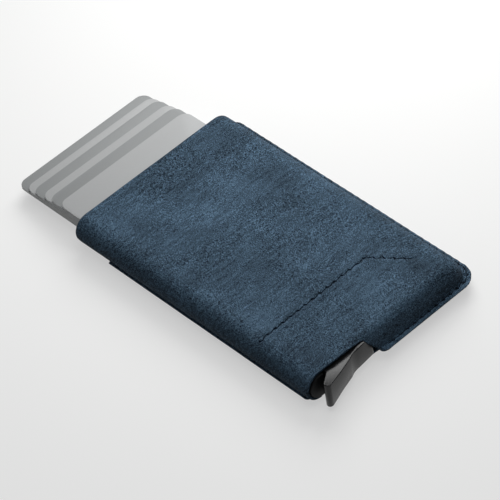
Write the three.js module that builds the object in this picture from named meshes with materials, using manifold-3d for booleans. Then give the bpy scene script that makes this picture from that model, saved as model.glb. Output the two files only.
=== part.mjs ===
// Pop-up card wallet: plastic cards in an aluminium case, a hinged lever with a stepped arm that
// fans them out of the mouth, and a moulded leather sleeve sewn along a flange.
// Millimetres. +Z is the front, +Y the mouth that the cards leave by, and +X runs from the
// rounded spine to the sewn flange. The back pocket lies on Z = 0.
import * as THREE from 'three';
import { mergeVertices } from 'three/addons/utils/BufferGeometryUtils.js';
import Module from 'manifold-3d';

const wasm = await Module();
wasm.setup();

// Cards, of the common bank card size, and how far each stands out of the mouth, front to rear
const CARD_LENGTH = 85.6;
const CARD_WIDTH = 53.98;
const CARD_THICKNESS = 0.76;
const CARD_CORNER = 3.18;
const CARD_GAP = 0.08;
const CARD_EXPOSURES = [11.9, 16.9, 20.5, 25.1, 28.5, 32.5];
const CARD_RECESS = 1.5;
const CARD_SIDE_CLEARANCE = 0.41;
const CARD_HEADROOM = 0.5;

// Clearances between pieces
const FIT = 0.05;
const GLUE_FIT = 0.02;
const PUSH_GAP = 0.3;
const HINGE_CLEARANCE = 0.1;

// Case, rails, felt strips and adhesive films
const CASE_WALL = 0.8;
const RAIL_THICKNESS = 1.45;
const FELT_THICKNESS = 1.1;
const FELT_CLEARANCE = 0.1;
const FELT_WIDTH = 12;
const FELT_LENGTH = 38;
const FELT_FROM_RAIL = 7.4;
const FELT_FROM_MOUTH = 5;
const FILM_THICKNESS = 0.15;
const FILM_MARGIN = 3;
const CASE_MOUTH_RECESS = 0.8;
const CASE_END_RECESS = 1.0;
const MECHANISM_DEPTH = 14.9;

// Leather sleeve
const LEATHER = 0.9;
const LINING = 0.2;
const POCKET_GAP = 0.5;
const POCKET_MOUTH_DROP = 14;
const POCKET_HUG_FROM = THREE.MathUtils.degToRad(38);
const POCKET_HUG_TO = THREE.MathUtils.degToRad(81);
const POCKET_RISE = 2.4;
const DRAPE_RIGHT = 5.2;
const DRAPE_END = 2.3;
const TOP_FLAT_RIGHT = 1.0;
const TOP_FLAT_END = 0.2;
const FORM_CORNER = 5;
const FORM_UNDERCUT_RIGHT = 3.8;
const FORM_UNDERCUT_END = 2.2;
const FORM_STEP = 0.8;
const WALL_ANGLES = [25, 45, 60, 75, 90];
const FLAT_SHARE_RIGHT = 0.33;
const FLAT_SHARE_END = 0.5;
const FLANGE_WIDTH = 3.2;
const FLANGE_WIDTH_END = 1.9;
const FLANGE_TOP = 4.5;
const FLANGE_CORNER = 7;
const FLANGE_END_ROUND = 1.4;
const WINDOW_CLEARANCE = 0.6;
const WINDOW_SLANT = 4.8;
const WINDOW_LIP = 0.9;
const WINDOW_LIP_LAP = 0.3;
const WINDOW_SCALLOP = 0.25;
const SCALLOP_PAST_SPINE = 2;

// Sewn line on the front panel: level part, then a slanted part towards the flange
const SEAM_DROP = 80;
const SEAM_BEND_INSET = 12.7;
const SEAM_RUN = 9.2;
const SEAM_FALL = 12;
const LINING_MARGIN = 3;

// Lever, turned about a pin by the spine
const SWING = THREE.MathUtils.degToRad(50);
const PIVOT_INSET = 7.4;
const HUB_RADIUS = 4;
const HUB_RELIEF = 0.6;
const PIN_RADIUS = 1.25;
const CHEEK = 0.65;
const ARM_TIP_WIDTH = 3;
const ARM_ROOT_WIDTH = 8.2;
const ARM_TIP_RADIUS = 1;
const LEVER_SIDE_GAP = 0.3;
const TRIGGER_REACH = 16.2;
const TRIGGER_CORNER = 1.5;
const TRIGGER_FACE_OUT = 1.7;
const TRIGGER_BEND = 7.9;
const TRIGGER_SIDE_GAP = 0.5;
const FACE_SIDE_GAP = 0.25;
const FACE_SLANT = 0.6;
const TAIL_OUT = 4.4;
const TAIL_REACH = 6.4;
const TAIL_TIP_RADIUS = 1.2;
const TAIL_TIP_FROM = THREE.MathUtils.degToRad(135);
const TAIL_TIP_TO = THREE.MathUtils.degToRad(290);
const TAIL_HOLLOW_OUT = 1.1;
const TAIL_HOLLOW_REACH = 4.8;
const BEND_SPREAD = 1.2;
const TAIL_NOTCH = 1.2;
const TAIL_FLARE = 0.7;
const TAIL_FLARE_START = 0.5;
const NECK_LEFT = 3.4;

// End pieces that close the case and carry the lever
const NOSE_OUT = 1.0;
const LIP = 0.6;
const PLUG_DEPTH = 3.2;
const LATCH_WIDTH = 8;
const LATCH_LENGTH = 1.8;
const LATCH_FROM_END = 1.0;
const LATCH_FROM_SIDE = 6.5;
const LATCH_SPACING = 14;
const LATCH_CLEARANCE = 0.2;

// Torsion spring round the pin
const WIRE = 0.5;
const SPRING_RADIUS = 2.5;
const SPRING_TURNS = 2.25;
const SPRING_PITCH = 1.0;
const SPRING_LEG = 1.1;
const SPRING_POCKET = 0.5;
const SPRING_STEPS_PER_TURN = 8;
const WIRE_SIDES = 5;

// How finely round shapes are drawn, and how near two corners are to count as one
const CURVE_STEPS = 6;
const FORM_CORNER_STEPS = 5;
const CARD_CORNER_STEPS = 4;
const POST_SIDES = 32;
const SAME_POINT = 1e-4;

// Quarter, half and three quarters of a turn
const QUARTER = Math.PI / 2;
const HALF = Math.PI;
const THREE_QUARTERS = 1.5 * Math.PI;

// Colours of the finishes
const LEATHER_BLUE = 0x394b5b;
const LINING_GREY = 0x22262b;
const ADHESIVE = 0xc8c8c0;
const ALUMINIUM = 0x8d9094;
const BLACK_PLASTIC = 0x161719;
const FELT_GREY = 0x2b2b2d;
const LEVER_GREY = 0x4a4b4c;
const STEEL = 0xb8babd;
const SPRING_STEEL = 0x9a9c9f;
const LIGHT_CARD = 0xb4b4b5;
const DARK_CARD = 0x8a8b8c;

// Sizes worked out from the driving ones, from the table up
const cardCount = CARD_EXPOSURES.length;
const cardPitch = CARD_THICKNESS + CARD_GAP;
const pocketTop = LEATHER;
const backBottom = pocketTop + POCKET_GAP;
const backTop = backBottom + LEATHER;
const caseBottom = backTop + FILM_THICKNESS;
const caseInnerBottom = caseBottom + CASE_WALL;
const feltTop = caseInnerBottom + FELT_THICKNESS;
const stackBottom = feltTop + FELT_CLEARANCE;
const stackTop = stackBottom + cardCount * cardPitch - CARD_GAP;
const caseInnerTop = stackTop + CARD_HEADROOM;
const caseTop = caseInnerTop + CASE_WALL;
const filmTop = caseTop + FILM_THICKNESS;
const frontBottom = filmTop + LINING;
const frontTop = frontBottom + LEATHER;
const flangeBottom = FLANGE_TOP - 2 * LEATHER;

// Across the wallet
const railFace = CARD_WIDTH / 2 + CARD_SIDE_CLEARANCE;
const caseInnerHalf = railFace + RAIL_THICKNESS + FIT;
const caseHalf = caseInnerHalf + CASE_WALL;
const caseInnerRadius = (caseInnerTop - caseInnerBottom) / 2;
const caseRadius = caseInnerRadius + CASE_WALL;
const caseMiddle = (caseInnerTop + caseInnerBottom) / 2;
const spineX = caseRadius - caseHalf;
const spineMiddle = (frontBottom + backTop) / 2;
const spineInner = (frontBottom - backTop) / 2;
const spineOuter = spineInner + LEATHER;
const footRight = caseHalf + DRAPE_RIGHT;
const flatRight = caseHalf - TOP_FLAT_RIGHT;
const flangeRight = footRight + FLANGE_WIDTH;
const seamBendX = flatRight - SEAM_BEND_INSET;

// Along the wallet
const sleeveLength = MECHANISM_DEPTH + CARD_LENGTH + CARD_RECESS;
const mouthY = sleeveLength / 2;
const endY = mouthY - sleeveLength;
const footEnd = endY - DRAPE_END;
const flatEnd = endY - TOP_FLAT_END;
const flangeEnd = footEnd - FLANGE_WIDTH_END;
const lipEnd = endY - WINDOW_LIP;
const caseMouthY = mouthY - CASE_MOUTH_RECESS;
const caseEndY = endY + CASE_END_RECESS;
const cardHomeY = mouthY - CARD_RECESS - CARD_LENGTH;
const pocketMouthY = mouthY - POCKET_MOUTH_DROP;
const seamY = mouthY - SEAM_DROP;
const mechanismTop = cardHomeY - PUSH_GAP;

// Lever
const pivot = new THREE.Vector2(PIVOT_INSET - railFace, mechanismTop - HUB_RADIUS);
const leverBottom = caseInnerBottom + LEVER_SIDE_GAP;
const leverTop = caseInnerTop - LEVER_SIDE_GAP;
const faceBottom = caseBottom + FACE_SIDE_GAP;
const faceTop = caseTop - FACE_SIDE_GAP;
const faceStep = caseEndY - PUSH_GAP;
const hubBottom = caseInnerBottom + FIT + CHEEK + HINGE_CLEARANCE;
const hubTop = caseInnerTop - FIT - CHEEK - HINGE_CLEARANCE;
const blockFace = pivot.x - HUB_RADIUS - HINGE_CLEARANCE - PUSH_GAP;
const triggerFace = endY - TRIGGER_FACE_OUT;
const triggerRight = pivot.x + TRIGGER_REACH;
const windowFoot = triggerRight + WINDOW_CLEARANCE;
const windowTop = windowFoot - WINDOW_SLANT;
const sweepRadius = Math.hypot(TRIGGER_REACH, pivot.y - triggerFace);
const springFloor = hubTop - SPRING_TURNS * SPRING_PITCH - WIRE - 2 * HINGE_CLEARANCE;

// What lies beyond the outline on each side, for cuts that run clear of the part
const BEYOND = 30;

// Closed solids from three.js geometry, and back again for a mesh
function solidOf(geometry) {
  const bare = geometry.index ? geometry.toNonIndexed() : geometry.clone();
  bare.deleteAttribute('normal');
  bare.deleteAttribute('uv');
  const merged = mergeVertices(bare, SAME_POINT);
  const vertProperties = merged.attributes.position.array;
  const triVerts = Uint32Array.from(merged.index.array);
  return new wasm.Manifold(new wasm.Mesh({ numProp: 3, vertProperties, triVerts }));
}

function geometryOf(solid) {
  const { vertProperties, triVerts } = solid.getMesh();
  const geometry = new THREE.BufferGeometry();
  geometry.setAttribute('position', new THREE.BufferAttribute(vertProperties, 3));
  geometry.setIndex(new THREE.BufferAttribute(triVerts, 1));
  geometry.computeVertexNormals();
  return geometry;
}

// A plan outline raised from one height to another
function plate(shape, bottom, top, curveSegments = CURVE_STEPS) {
  const geometry = new THREE.ExtrudeGeometry(shape, {
    depth: top - bottom,
    bevelEnabled: false,
    curveSegments,
  });
  return solidOf(geometry.translate(0, 0, bottom));
}

// A cross section, drawn in X and Z, drawn out along Y
function channel(shape, near, far, curveSegments = CURVE_STEPS) {
  const geometry = new THREE.ExtrudeGeometry(shape, {
    depth: far - near,
    bevelEnabled: false,
    curveSegments,
  });
  return solidOf(geometry.rotateX(QUARTER).translate(0, far, 0));
}

function box(left, right, near, far, bottom, top) {
  const geometry = new THREE.BoxGeometry(right - left, far - near, top - bottom);
  return solidOf(geometry.translate((left + right) / 2, (near + far) / 2, (bottom + top) / 2));
}

function post(center, radius, bottom, top) {
  const geometry = new THREE.CylinderGeometry(radius, radius, top - bottom, POST_SIDES);
  return solidOf(geometry.rotateX(QUARTER).translate(center.x, center.y, (bottom + top) / 2));
}

// A body between outlines of the same number of points, from the lowest level to the highest
function loft(levels) {
  const count = levels[0].outline.length;
  const corners = levels.flatMap(({ z, outline }) => outline.flatMap((p) => [p.x, p.y, z]));
  const faces = [];
  for (let level = 0; level + 1 < levels.length; level += 1) {
    for (let i = 0; i < count; i += 1) {
      const a = level * count + i;
      const b = level * count + ((i + 1) % count);
      faces.push(a, b, b + count, a, b + count, a + count);
    }
  }
  const top = (levels.length - 1) * count;
  for (const [a, b, c] of THREE.ShapeUtils.triangulateShape(levels[0].outline, [])) {
    faces.push(a, c, b);
    faces.push(top + a, top + b, top + c);
  }
  const geometry = new THREE.BufferGeometry();
  geometry.setAttribute('position', new THREE.Float32BufferAttribute(corners, 3));
  geometry.setIndex(faces);
  return solidOf(geometry);
}

// Plan outline of the sleeve's form: straight at the mouth and far past the spine, with a round
// corner where the flange side meets the lever's end
function formOutline(right, end, corner, mouth) {
  const shape = new THREE.Shape();
  shape.moveTo(-caseHalf - BEYOND, end);
  shape.lineTo(right - corner, end);
  shape.absarc(right - corner, end + corner, corner, -QUARTER, 0);
  shape.lineTo(right, mouth);
  shape.lineTo(-caseHalf - BEYOND, mouth);
  return shape.extractPoints(FORM_CORNER_STEPS).shape;
}

// The leather's moulded form, at the outer face or one leather thickness inside it
function mouldedForm(inset, mouth) {
  const bottom = backBottom + inset;
  const top = frontTop - inset;
  const footX = footRight - inset;
  const footY = footEnd + inset;
  const flatX = flatRight - inset * FLAT_SHARE_RIGHT;
  const flatY = flatEnd + inset * FLAT_SHARE_END;
  const levels = [
    { z: bottom, right: footX - FORM_UNDERCUT_RIGHT, end: footY + FORM_UNDERCUT_END - inset },
    { z: flangeBottom + inset, right: footX - FORM_STEP, end: footY + FORM_STEP },
    { z: FLANGE_TOP, right: footX, end: footY },
  ];
  for (const degrees of WALL_ANGLES) {
    const angle = THREE.MathUtils.degToRad(degrees);
    levels.push({
      z: FLANGE_TOP + (top - FLANGE_TOP) * Math.sin(angle),
      right: flatX + (footX - flatX) * Math.cos(angle),
      end: flatY + (footY - flatY) * Math.cos(angle),
    });
  }
  return loft(levels.map(({ z, right, end }) => ({
    z,
    outline: formOutline(right, end, FORM_CORNER - inset, mouth),
  })));
}

// A section that is half round at the spine and runs on past the other side
function spineSection(radius) {
  const shape = new THREE.Shape();
  shape.moveTo(flangeRight + BEYOND, spineMiddle + radius);
  shape.lineTo(spineX, spineMiddle + radius);
  shape.absarc(spineX, spineMiddle, radius, QUARTER, THREE_QUARTERS);
  shape.lineTo(flangeRight + BEYOND, spineMiddle - radius);
  return shape;
}

// Flange strip along the right side and the lever's end, with its rounded end by the lever
function flangeOutline() {
  const shape = new THREE.Shape();
  const left = windowFoot;
  const cornerX = flangeRight - FLANGE_CORNER;
  const roundX = left + FLANGE_END_ROUND;
  const roundY = flangeEnd + FLANGE_END_ROUND;
  shape.moveTo(roundX, flangeEnd);
  shape.lineTo(cornerX, flangeEnd);
  shape.absarc(cornerX, flangeEnd + FLANGE_CORNER, FLANGE_CORNER, -QUARTER, 0);
  shape.lineTo(flangeRight, mouthY);
  shape.lineTo(flatRight, mouthY);
  shape.lineTo(flatRight, endY);
  shape.lineTo(left, endY);
  shape.lineTo(left, roundY);
  shape.absarc(roundX, roundY, FLANGE_END_ROUND, HALF, THREE_QUARTERS);
  return shape;
}

// Space that the sleeve leaves open for the lever at the spine side of its end
function leverWindow() {
  const section = new THREE.Shape();
  section.moveTo(-caseHalf - BEYOND, -BEYOND);
  section.lineTo(windowFoot, -BEYOND);
  section.lineTo(windowFoot, FLANGE_TOP);
  section.lineTo(windowTop, frontTop);
  section.lineTo(windowTop, frontTop + BEYOND);
  section.lineTo(-caseHalf - BEYOND, frontTop + BEYOND);
  return channel(section, endY - BEYOND, endY);
}

// Lip of the front and of the spine that runs on over the lever, with a slightly hollow edge
function windowLip() {
  const far = endY + LEATHER;
  const outer = channel(spineSection(spineOuter), lipEnd, far);
  const inner = channel(spineSection(spineInner), lipEnd - BEYOND, far + BEYOND);
  const right = windowTop + WINDOW_LIP_LAP;
  const front = box(-BEYOND - caseHalf, right, lipEnd, far, spineMiddle, BEYOND);
  const spine = box(-BEYOND - caseHalf, spineX + LEATHER, lipEnd, far, -BEYOND, BEYOND);
  const scallop = new THREE.Shape();
  const left = spineX - SCALLOP_PAST_SPINE;
  scallop.moveTo(left, lipEnd - LEATHER);
  scallop.lineTo(right, lipEnd - LEATHER);
  scallop.lineTo(right, lipEnd);
  scallop.quadraticCurveTo((left + right) / 2, lipEnd + 2 * WINDOW_SCALLOP, left, lipEnd);
  const lip = outer.subtract(inner).intersect(front.add(spine));
  return lip.subtract(plate(scallop, caseTop, frontTop + BEYOND));
}

function leatherWrap() {
  const outerSpine = channel(spineSection(spineOuter), endY - BEYOND, mouthY);
  const outer = mouldedForm(0, mouthY).intersect(outerSpine);
  const innerSpine = channel(spineSection(spineInner), endY - BEYOND, mouthY + BEYOND);
  const hollow = mouldedForm(LEATHER, mouthY + BEYOND).intersect(innerSpine);
  const flange = plate(flangeOutline(), flangeBottom, FLANGE_TOP);
  return outer.add(flange).subtract(hollow).subtract(leverWindow()).add(windowLip());
}

// Leather panel sewn over the back along the flange and the spine, open towards the mouth
function backPocket() {
  const rimTop = flangeBottom - GLUE_FIT;
  const rimBottom = rimTop - LEATHER;
  const dishAt = (inset, mouth) => {
    return formOutline(footRight - inset, footEnd + inset, FORM_CORNER, mouth);
  };
  const edge = formOutline(flangeRight, flangeEnd, FLANGE_CORNER, pocketMouthY);
  const dish = loft([
    { z: 0, outline: dishAt(POCKET_RISE, pocketMouthY) },
    { z: rimBottom, outline: dishAt(0, pocketMouthY) },
  ]);
  const rim = loft([
    { z: rimBottom, outline: edge },
    { z: rimTop, outline: edge },
  ]);
  const hollow = loft([
    { z: pocketTop, outline: dishAt(POCKET_RISE + PUSH_GAP, mouthY) },
    { z: rimTop + PUSH_GAP, outline: dishAt(0, mouthY) },
    { z: frontTop, outline: dishAt(0, mouthY) },
  ]);
  const start = HALF + POCKET_HUG_FROM;
  const outerRadius = spineOuter + LEATHER + FIT;
  const innerRadius = spineOuter + FIT;
  const flatX = spineX + LEATHER + POCKET_RISE;
  const hem = new THREE.Vector2(Math.cos(start), Math.sin(start));
  const hug = (radius, floor) => {
    const shape = new THREE.Shape();
    shape.moveTo(spineX + radius * hem.x, spineMiddle + radius * hem.y);
    shape.absarc(spineX, spineMiddle, radius, start, HALF + POCKET_HUG_TO);
    shape.lineTo(flatX, floor);
    shape.lineTo(flangeRight + BEYOND, floor);
    return shape;
  };
  const outside = hug(outerRadius, 0);
  outside.lineTo(flangeRight + BEYOND, rimTop);
  outside.lineTo(flatX, rimTop);
  outside.lineTo(spineX + innerRadius * hem.x, spineMiddle + innerRadius * hem.y);
  const inside = hug(innerRadius, pocketTop);
  inside.lineTo(flangeRight + BEYOND, frontTop);
  inside.lineTo(spineX + innerRadius * hem.x, frontTop);
  const body = dish.add(rim).intersect(channel(outside, flangeEnd - BEYOND, mouthY));
  const open = hollow.intersect(channel(inside, flangeEnd - BEYOND, mouthY));
  return body.subtract(open).subtract(leverWindow());
}

// Case section: flat front and back with half-round sides
function caseSection(half, radius) {
  const straight = half - radius;
  const shape = new THREE.Shape();
  shape.absarc(straight, caseMiddle, radius, -QUARTER, QUARTER);
  shape.absarc(-straight, caseMiddle, radius, QUARTER, THREE_QUARTERS);
  return shape;
}

// Latches of the end plug, or the windows that they spring into, through both faces of the case
function latches(growth, depth) {
  const outer = caseHalf - caseRadius - LATCH_FROM_SIDE;
  const near = caseEndY + LATCH_FROM_END - growth;
  const far = near + LATCH_LENGTH + 2 * growth;
  const across = LATCH_WIDTH / 2 + growth;
  return [outer, outer - LATCH_SPACING]
    .map((x) => box(x - across, x + across, near, far, caseMiddle - depth, caseMiddle + depth))
    .reduce((all, one) => all.add(one));
}

function caseTube() {
  const section = caseSection(caseHalf, caseRadius);
  section.holes.push(caseSection(caseInnerHalf, caseInnerRadius));
  const tube = channel(section, caseEndY, caseMouthY);
  return tube.subtract(latches(LATCH_CLEARANCE, BEYOND)).subtract(leverWay());
}

// Way through the case's walls for the lever's tall face, which swings in past the case's end
function leverWay() {
  const outer = post(pivot, sweepRadius + PUSH_GAP, 0, frontTop);
  const inner = post(pivot, pivot.y - faceStep - HINGE_CLEARANCE, 0, frontTop);
  const rise = TRIGGER_REACH * Math.sin(SWING) + (faceStep - pivot.y) * Math.cos(SWING);
  const far = pivot.y + rise + PUSH_GAP;
  return outer.subtract(inner).intersect(box(pivot.x, caseHalf, endY, far, 0, frontTop));
}

// Half-round guide strip that fills the case's round side and bears on the cards' long edges
function rail(side) {
  const strip = channel(insideSection(), mechanismTop + PUSH_GAP, caseMouthY - FIT);
  const [left, right] = side > 0 ? [railFace, caseHalf] : [-caseHalf, -railFace];
  return strip.intersect(box(left, right, endY, mouthY, 0, frontTop));
}

function felt(side) {
  const middle = side * (railFace - FELT_FROM_RAIL - FELT_WIDTH / 2);
  const left = middle - FELT_WIDTH / 2;
  const far = caseMouthY - FELT_FROM_MOUTH;
  const bottom = caseInnerBottom + GLUE_FIT;
  return box(left, left + FELT_WIDTH, far - FELT_LENGTH, far, bottom, feltTop);
}

function film(bottom) {
  const half = caseHalf - caseRadius - GLUE_FIT;
  const near = caseEndY + FILM_MARGIN;
  const far = caseMouthY - FILM_MARGIN;
  return box(-half, half, near, far, bottom + GLUE_FIT, bottom + FILM_THICKNESS - GLUE_FIT);
}

// Lining behind the front panel, cut one margin outside the sewn line
function frontLining() {
  const right = flatRight - LINING_MARGIN / 2;
  const low = seamY - LINING_MARGIN;
  const shape = new THREE.Shape();
  shape.moveTo(spineX, mouthY - LINING_MARGIN);
  shape.lineTo(spineX, low);
  shape.lineTo(seamBendX - LINING_MARGIN / 2, low);
  shape.lineTo(seamBendX - LINING_MARGIN / 2 + SEAM_RUN, low - SEAM_FALL);
  shape.lineTo(right, low - SEAM_FALL);
  shape.lineTo(right, mouthY - LINING_MARGIN);
  return plate(shape, filmTop + GLUE_FIT, frontBottom - GLUE_FIT);
}

// Card at its place in the fan, numbered from the front
function card(index) {
  const half = CARD_WIDTH / 2;
  const far = mouthY + CARD_EXPOSURES[index];
  const near = far - CARD_LENGTH;
  const bottom = stackBottom + (cardCount - 1 - index) * cardPitch;
  const shape = new THREE.Shape();
  shape.absarc(half - CARD_CORNER, near + CARD_CORNER, CARD_CORNER, -QUARTER, 0);
  shape.absarc(half - CARD_CORNER, far - CARD_CORNER, CARD_CORNER, 0, QUARTER);
  shape.absarc(CARD_CORNER - half, far - CARD_CORNER, CARD_CORNER, QUARTER, HALF);
  shape.absarc(CARD_CORNER - half, near + CARD_CORNER, CARD_CORNER, HALF, THREE_QUARTERS);
  return plate(shape, bottom, bottom + CARD_THICKNESS, CARD_CORNER_STEPS);
}

// Arm length at which a step's rounded tip, at full swing, just reaches its card in the fan
function stepReach(index) {
  const cardEnd = mouthY + CARD_EXPOSURES[index] - CARD_LENGTH;
  const rise = cardEnd - PUSH_GAP - pivot.y - ARM_TIP_RADIUS;
  const tipHeight = (HUB_RADIUS - ARM_TIP_RADIUS) * Math.cos(SWING);
  return (rise - tipHeight) / Math.sin(SWING) + ARM_TIP_RADIUS;
}

// Plan of one step of the arm, from the hub to its tip
function armOutline(reach) {
  const top = pivot.y + HUB_RADIUS;
  const tip = pivot.x + reach;
  const shape = new THREE.Shape();
  shape.moveTo(pivot.x, top);
  shape.lineTo(pivot.x + HUB_RADIUS, top - ARM_ROOT_WIDTH);
  shape.lineTo(triggerRight, top - ARM_ROOT_WIDTH);
  shape.lineTo(Math.max(tip, triggerRight) - ARM_TIP_RADIUS, top - ARM_TIP_WIDTH);
  shape.lineTo(tip, top - ARM_TIP_WIDTH);
  shape.lineTo(tip, top - ARM_TIP_RADIUS);
  shape.absarc(tip - ARM_TIP_RADIUS, top - ARM_TIP_RADIUS, ARM_TIP_RADIUS, 0, QUARTER);
  return shape;
}

// Plan of the hub and the trigger below it: a face along the end, set back a little on its
// right, then a hollow sweep out to the tail at the spine corner
function triggerOutline() {
  const tailX = pivot.x - TAIL_REACH;
  const tailY = triggerFace - TAIL_OUT + TAIL_TIP_RADIUS;
  const bendX = pivot.x + TRIGGER_BEND;
  const neckX = pivot.x - NECK_LEFT;
  const cornerX = triggerRight - TRIGGER_CORNER;
  const cornerY = triggerFace + FACE_SLANT + TRIGGER_CORNER;
  const shape = new THREE.Shape();
  shape.moveTo(triggerRight, cornerY);
  shape.lineTo(triggerRight, pivot.y + HUB_RADIUS - ARM_ROOT_WIDTH);
  shape.lineTo(pivot.x + HUB_RADIUS, pivot.y);
  shape.absarc(pivot.x, pivot.y, HUB_RADIUS, 0, HALF);
  shape.lineTo(neckX, pivot.y - HUB_RADIUS);
  shape.lineTo(neckX, endY - TAIL_NOTCH);
  shape.absarc(tailX, tailY, TAIL_TIP_RADIUS, TAIL_TIP_FROM, TAIL_TIP_TO);
  shape.lineTo(pivot.x + TAIL_HOLLOW_REACH, triggerFace - TAIL_HOLLOW_OUT);
  shape.quadraticCurveTo(bendX - BEND_SPREAD, triggerFace, bendX + BEND_SPREAD, triggerFace);
  shape.lineTo(cornerX, triggerFace + FACE_SLANT);
  shape.absarc(cornerX, cornerY, TRIGGER_CORNER, -QUARTER, 0);
  return shape;
}

// Height of the lever along X: level at the hub, flared towards the tail, and slanted on its
// right as the leather beside it is cut
function leverHeights(bottom, top, flare) {
  const start = pivot.x - TAIL_FLARE_START;
  const end = pivot.x - TAIL_REACH - TAIL_TIP_RADIUS;
  const lean = WINDOW_SLANT * (top - FLANGE_TOP) / (frontTop - FLANGE_TOP);
  const right = windowFoot - TRIGGER_SIDE_GAP;
  const shape = new THREE.Shape();
  shape.moveTo(right, bottom);
  shape.lineTo(right, FLANGE_TOP);
  shape.lineTo(right - lean, top);
  shape.lineTo(start, top);
  shape.lineTo(end, top + flare);
  shape.lineTo(end - BEYOND, top + flare);
  shape.lineTo(end - BEYOND, bottom - flare);
  shape.lineTo(end, bottom - flare);
  shape.lineTo(start, bottom);
  return channel(shape, endY - BEYOND, mouthY);
}

function lever() {
  const plan = plate(triggerOutline(), 0, frontTop);
  const outside = box(-BEYOND - caseHalf, caseHalf, endY - BEYOND, faceStep, 0, frontTop);
  const face = outside.intersect(leverHeights(faceBottom, faceTop, TAIL_FLARE));
  let body = plan.intersect(leverHeights(leverBottom, leverTop, 0).add(face));
  for (let index = 0; index < cardCount; index += 1) {
    const top = stackBottom + (cardCount - index) * cardPitch - CARD_GAP / 2;
    body = body.add(plate(armOutline(stepReach(index)), hubBottom, top));
  }
  const hubClear = HUB_RADIUS + HUB_RELIEF;
  const springRadius = SPRING_RADIUS + WIRE / 2 + SPRING_POCKET;
  const pocket = post(pivot, springRadius, springFloor, frontTop);
  const legNear = pivot.y - springRadius;
  const legFar = pivot.y + HUB_RADIUS;
  const legWay = box(blockFace, pivot.x, legNear, legFar, springFloor, frontTop);
  return body
    .subtract(post(pivot, hubClear, 0, hubBottom))
    .subtract(post(pivot, hubClear, hubTop, frontTop))
    .subtract(post(pivot, PIN_RADIUS + HINGE_CLEARANCE, 0, frontTop))
    .subtract(pocket)
    .subtract(legWay);
}

function pivotPin() {
  return post(pivot, PIN_RADIUS, caseInnerBottom + FIT, caseInnerTop - FIT);
}

// Section of a piece that fits inside the case
function insideSection() {
  return caseSection(caseInnerHalf - FIT, caseInnerRadius - FIT);
}

// Block in the spine side of the case: two cheeks carry the pin, and its nose shows at the end
function pivotBlock() {
  const inside = channel(insideSection(), caseEndY - LIP, mechanismTop);
  const spineSide = box(-caseHalf, blockFace, endY - BEYOND, mouthY, 0, frontTop);
  const wall = inside.intersect(spineSide);
  const nose = channel(caseSection(caseHalf, caseRadius), endY - NOSE_OUT, caseEndY - FIT);
  const corner = nose.intersect(spineSide);
  const bridge = box(blockFace - FIT, pivot.x, pivot.y, mechanismTop, 0, frontTop);
  const slotBottom = hubBottom - HINGE_CLEARANCE;
  const slotTop = hubTop + HINGE_CLEARANCE;
  const slot = box(blockFace, pivot.x + BEYOND, endY, mouthY, slotBottom, slotTop);
  const cheeks = post(pivot, HUB_RADIUS, 0, frontTop).add(bridge).intersect(inside).subtract(slot);
  const hole = post(pivot, PIN_RADIUS + HINGE_CLEARANCE, 0, frontTop);
  return wall.add(corner).add(cheeks).subtract(hole);
}

// Plug that closes the rest of the case's end, with a lip over its edge and sprung latches
function endPlug() {
  const plugTop = caseEndY + PLUG_DEPTH;
  const left = pivot.x + Math.sqrt(sweepRadius ** 2 - (plugTop - pivot.y) ** 2) + PUSH_GAP;
  const keep = box(left, caseHalf + BEYOND, endY - BEYOND, mouthY, 0, frontTop);
  const inside = channel(insideSection(), caseEndY - LIP, plugTop);
  const lip = channel(caseSection(caseHalf, caseRadius), caseEndY - LIP, caseEndY - FIT);
  const ears = latches(0, caseRadius - FIT);
  return inside.add(lip).add(ears).intersect(keep);
}

// Centre line of the torsion spring: a straight leg, the turns and a second straight leg
function springPath() {
  const steps = SPRING_STEPS_PER_TURN * SPRING_TURNS;
  const height = springFloor + WIRE / 2 + HINGE_CLEARANCE;
  const points = [];
  for (let i = 0; i <= steps; i += 1) {
    const turns = i / SPRING_STEPS_PER_TURN;
    const angle = QUARTER + 2 * Math.PI * turns;
    const x = pivot.x + SPRING_RADIUS * Math.cos(angle);
    const y = pivot.y + SPRING_RADIUS * Math.sin(angle);
    points.push(new THREE.Vector3(x, y, height + SPRING_PITCH * turns));
  }
  const last = points[points.length - 1];
  points.push(new THREE.Vector3(last.x, last.y - SPRING_LEG, last.z));
  points.unshift(new THREE.Vector3(points[0].x + SPRING_LEG, points[0].y, height));
  return points;
}

// Least clear distance between neighbouring turns, measured on the centre line's points
function leastCoilGap(points) {
  let least = Infinity;
  for (let i = 0; i < points.length; i += 1) {
    for (let j = i + SPRING_STEPS_PER_TURN - 2; j < points.length; j += 1) {
      least = Math.min(least, points[i].distanceTo(points[j]) - WIRE);
    }
  }
  return least;
}

function returnSpring() {
  const points = springPath();
  console.log(`spring: least gap between turns ${leastCoilGap(points).toFixed(2)} mm`);
  const section = new THREE.Shape();
  section.absarc(0, 0, WIRE / 2, 0, 2 * Math.PI);
  const outline = new THREE.Shape(section.getSpacedPoints(WIRE_SIDES).slice(0, WIRE_SIDES));
  const geometry = new THREE.ExtrudeGeometry(outline, {
    extrudePath: new THREE.CatmullRomCurve3(points),
    steps: points.length,
    bevelEnabled: false,
  });
  return solidOf(geometry);
}

// Materials, one for each piece
function finish(color, roughness, metalness = 0) {
  return new THREE.MeshStandardMaterial({ color, roughness, metalness });
}

const wallet = new THREE.Group();

function addPiece(name, solid, material) {
  const mesh = new THREE.Mesh(geometryOf(solid), material);
  mesh.name = name;
  wallet.add(mesh);
}

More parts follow.
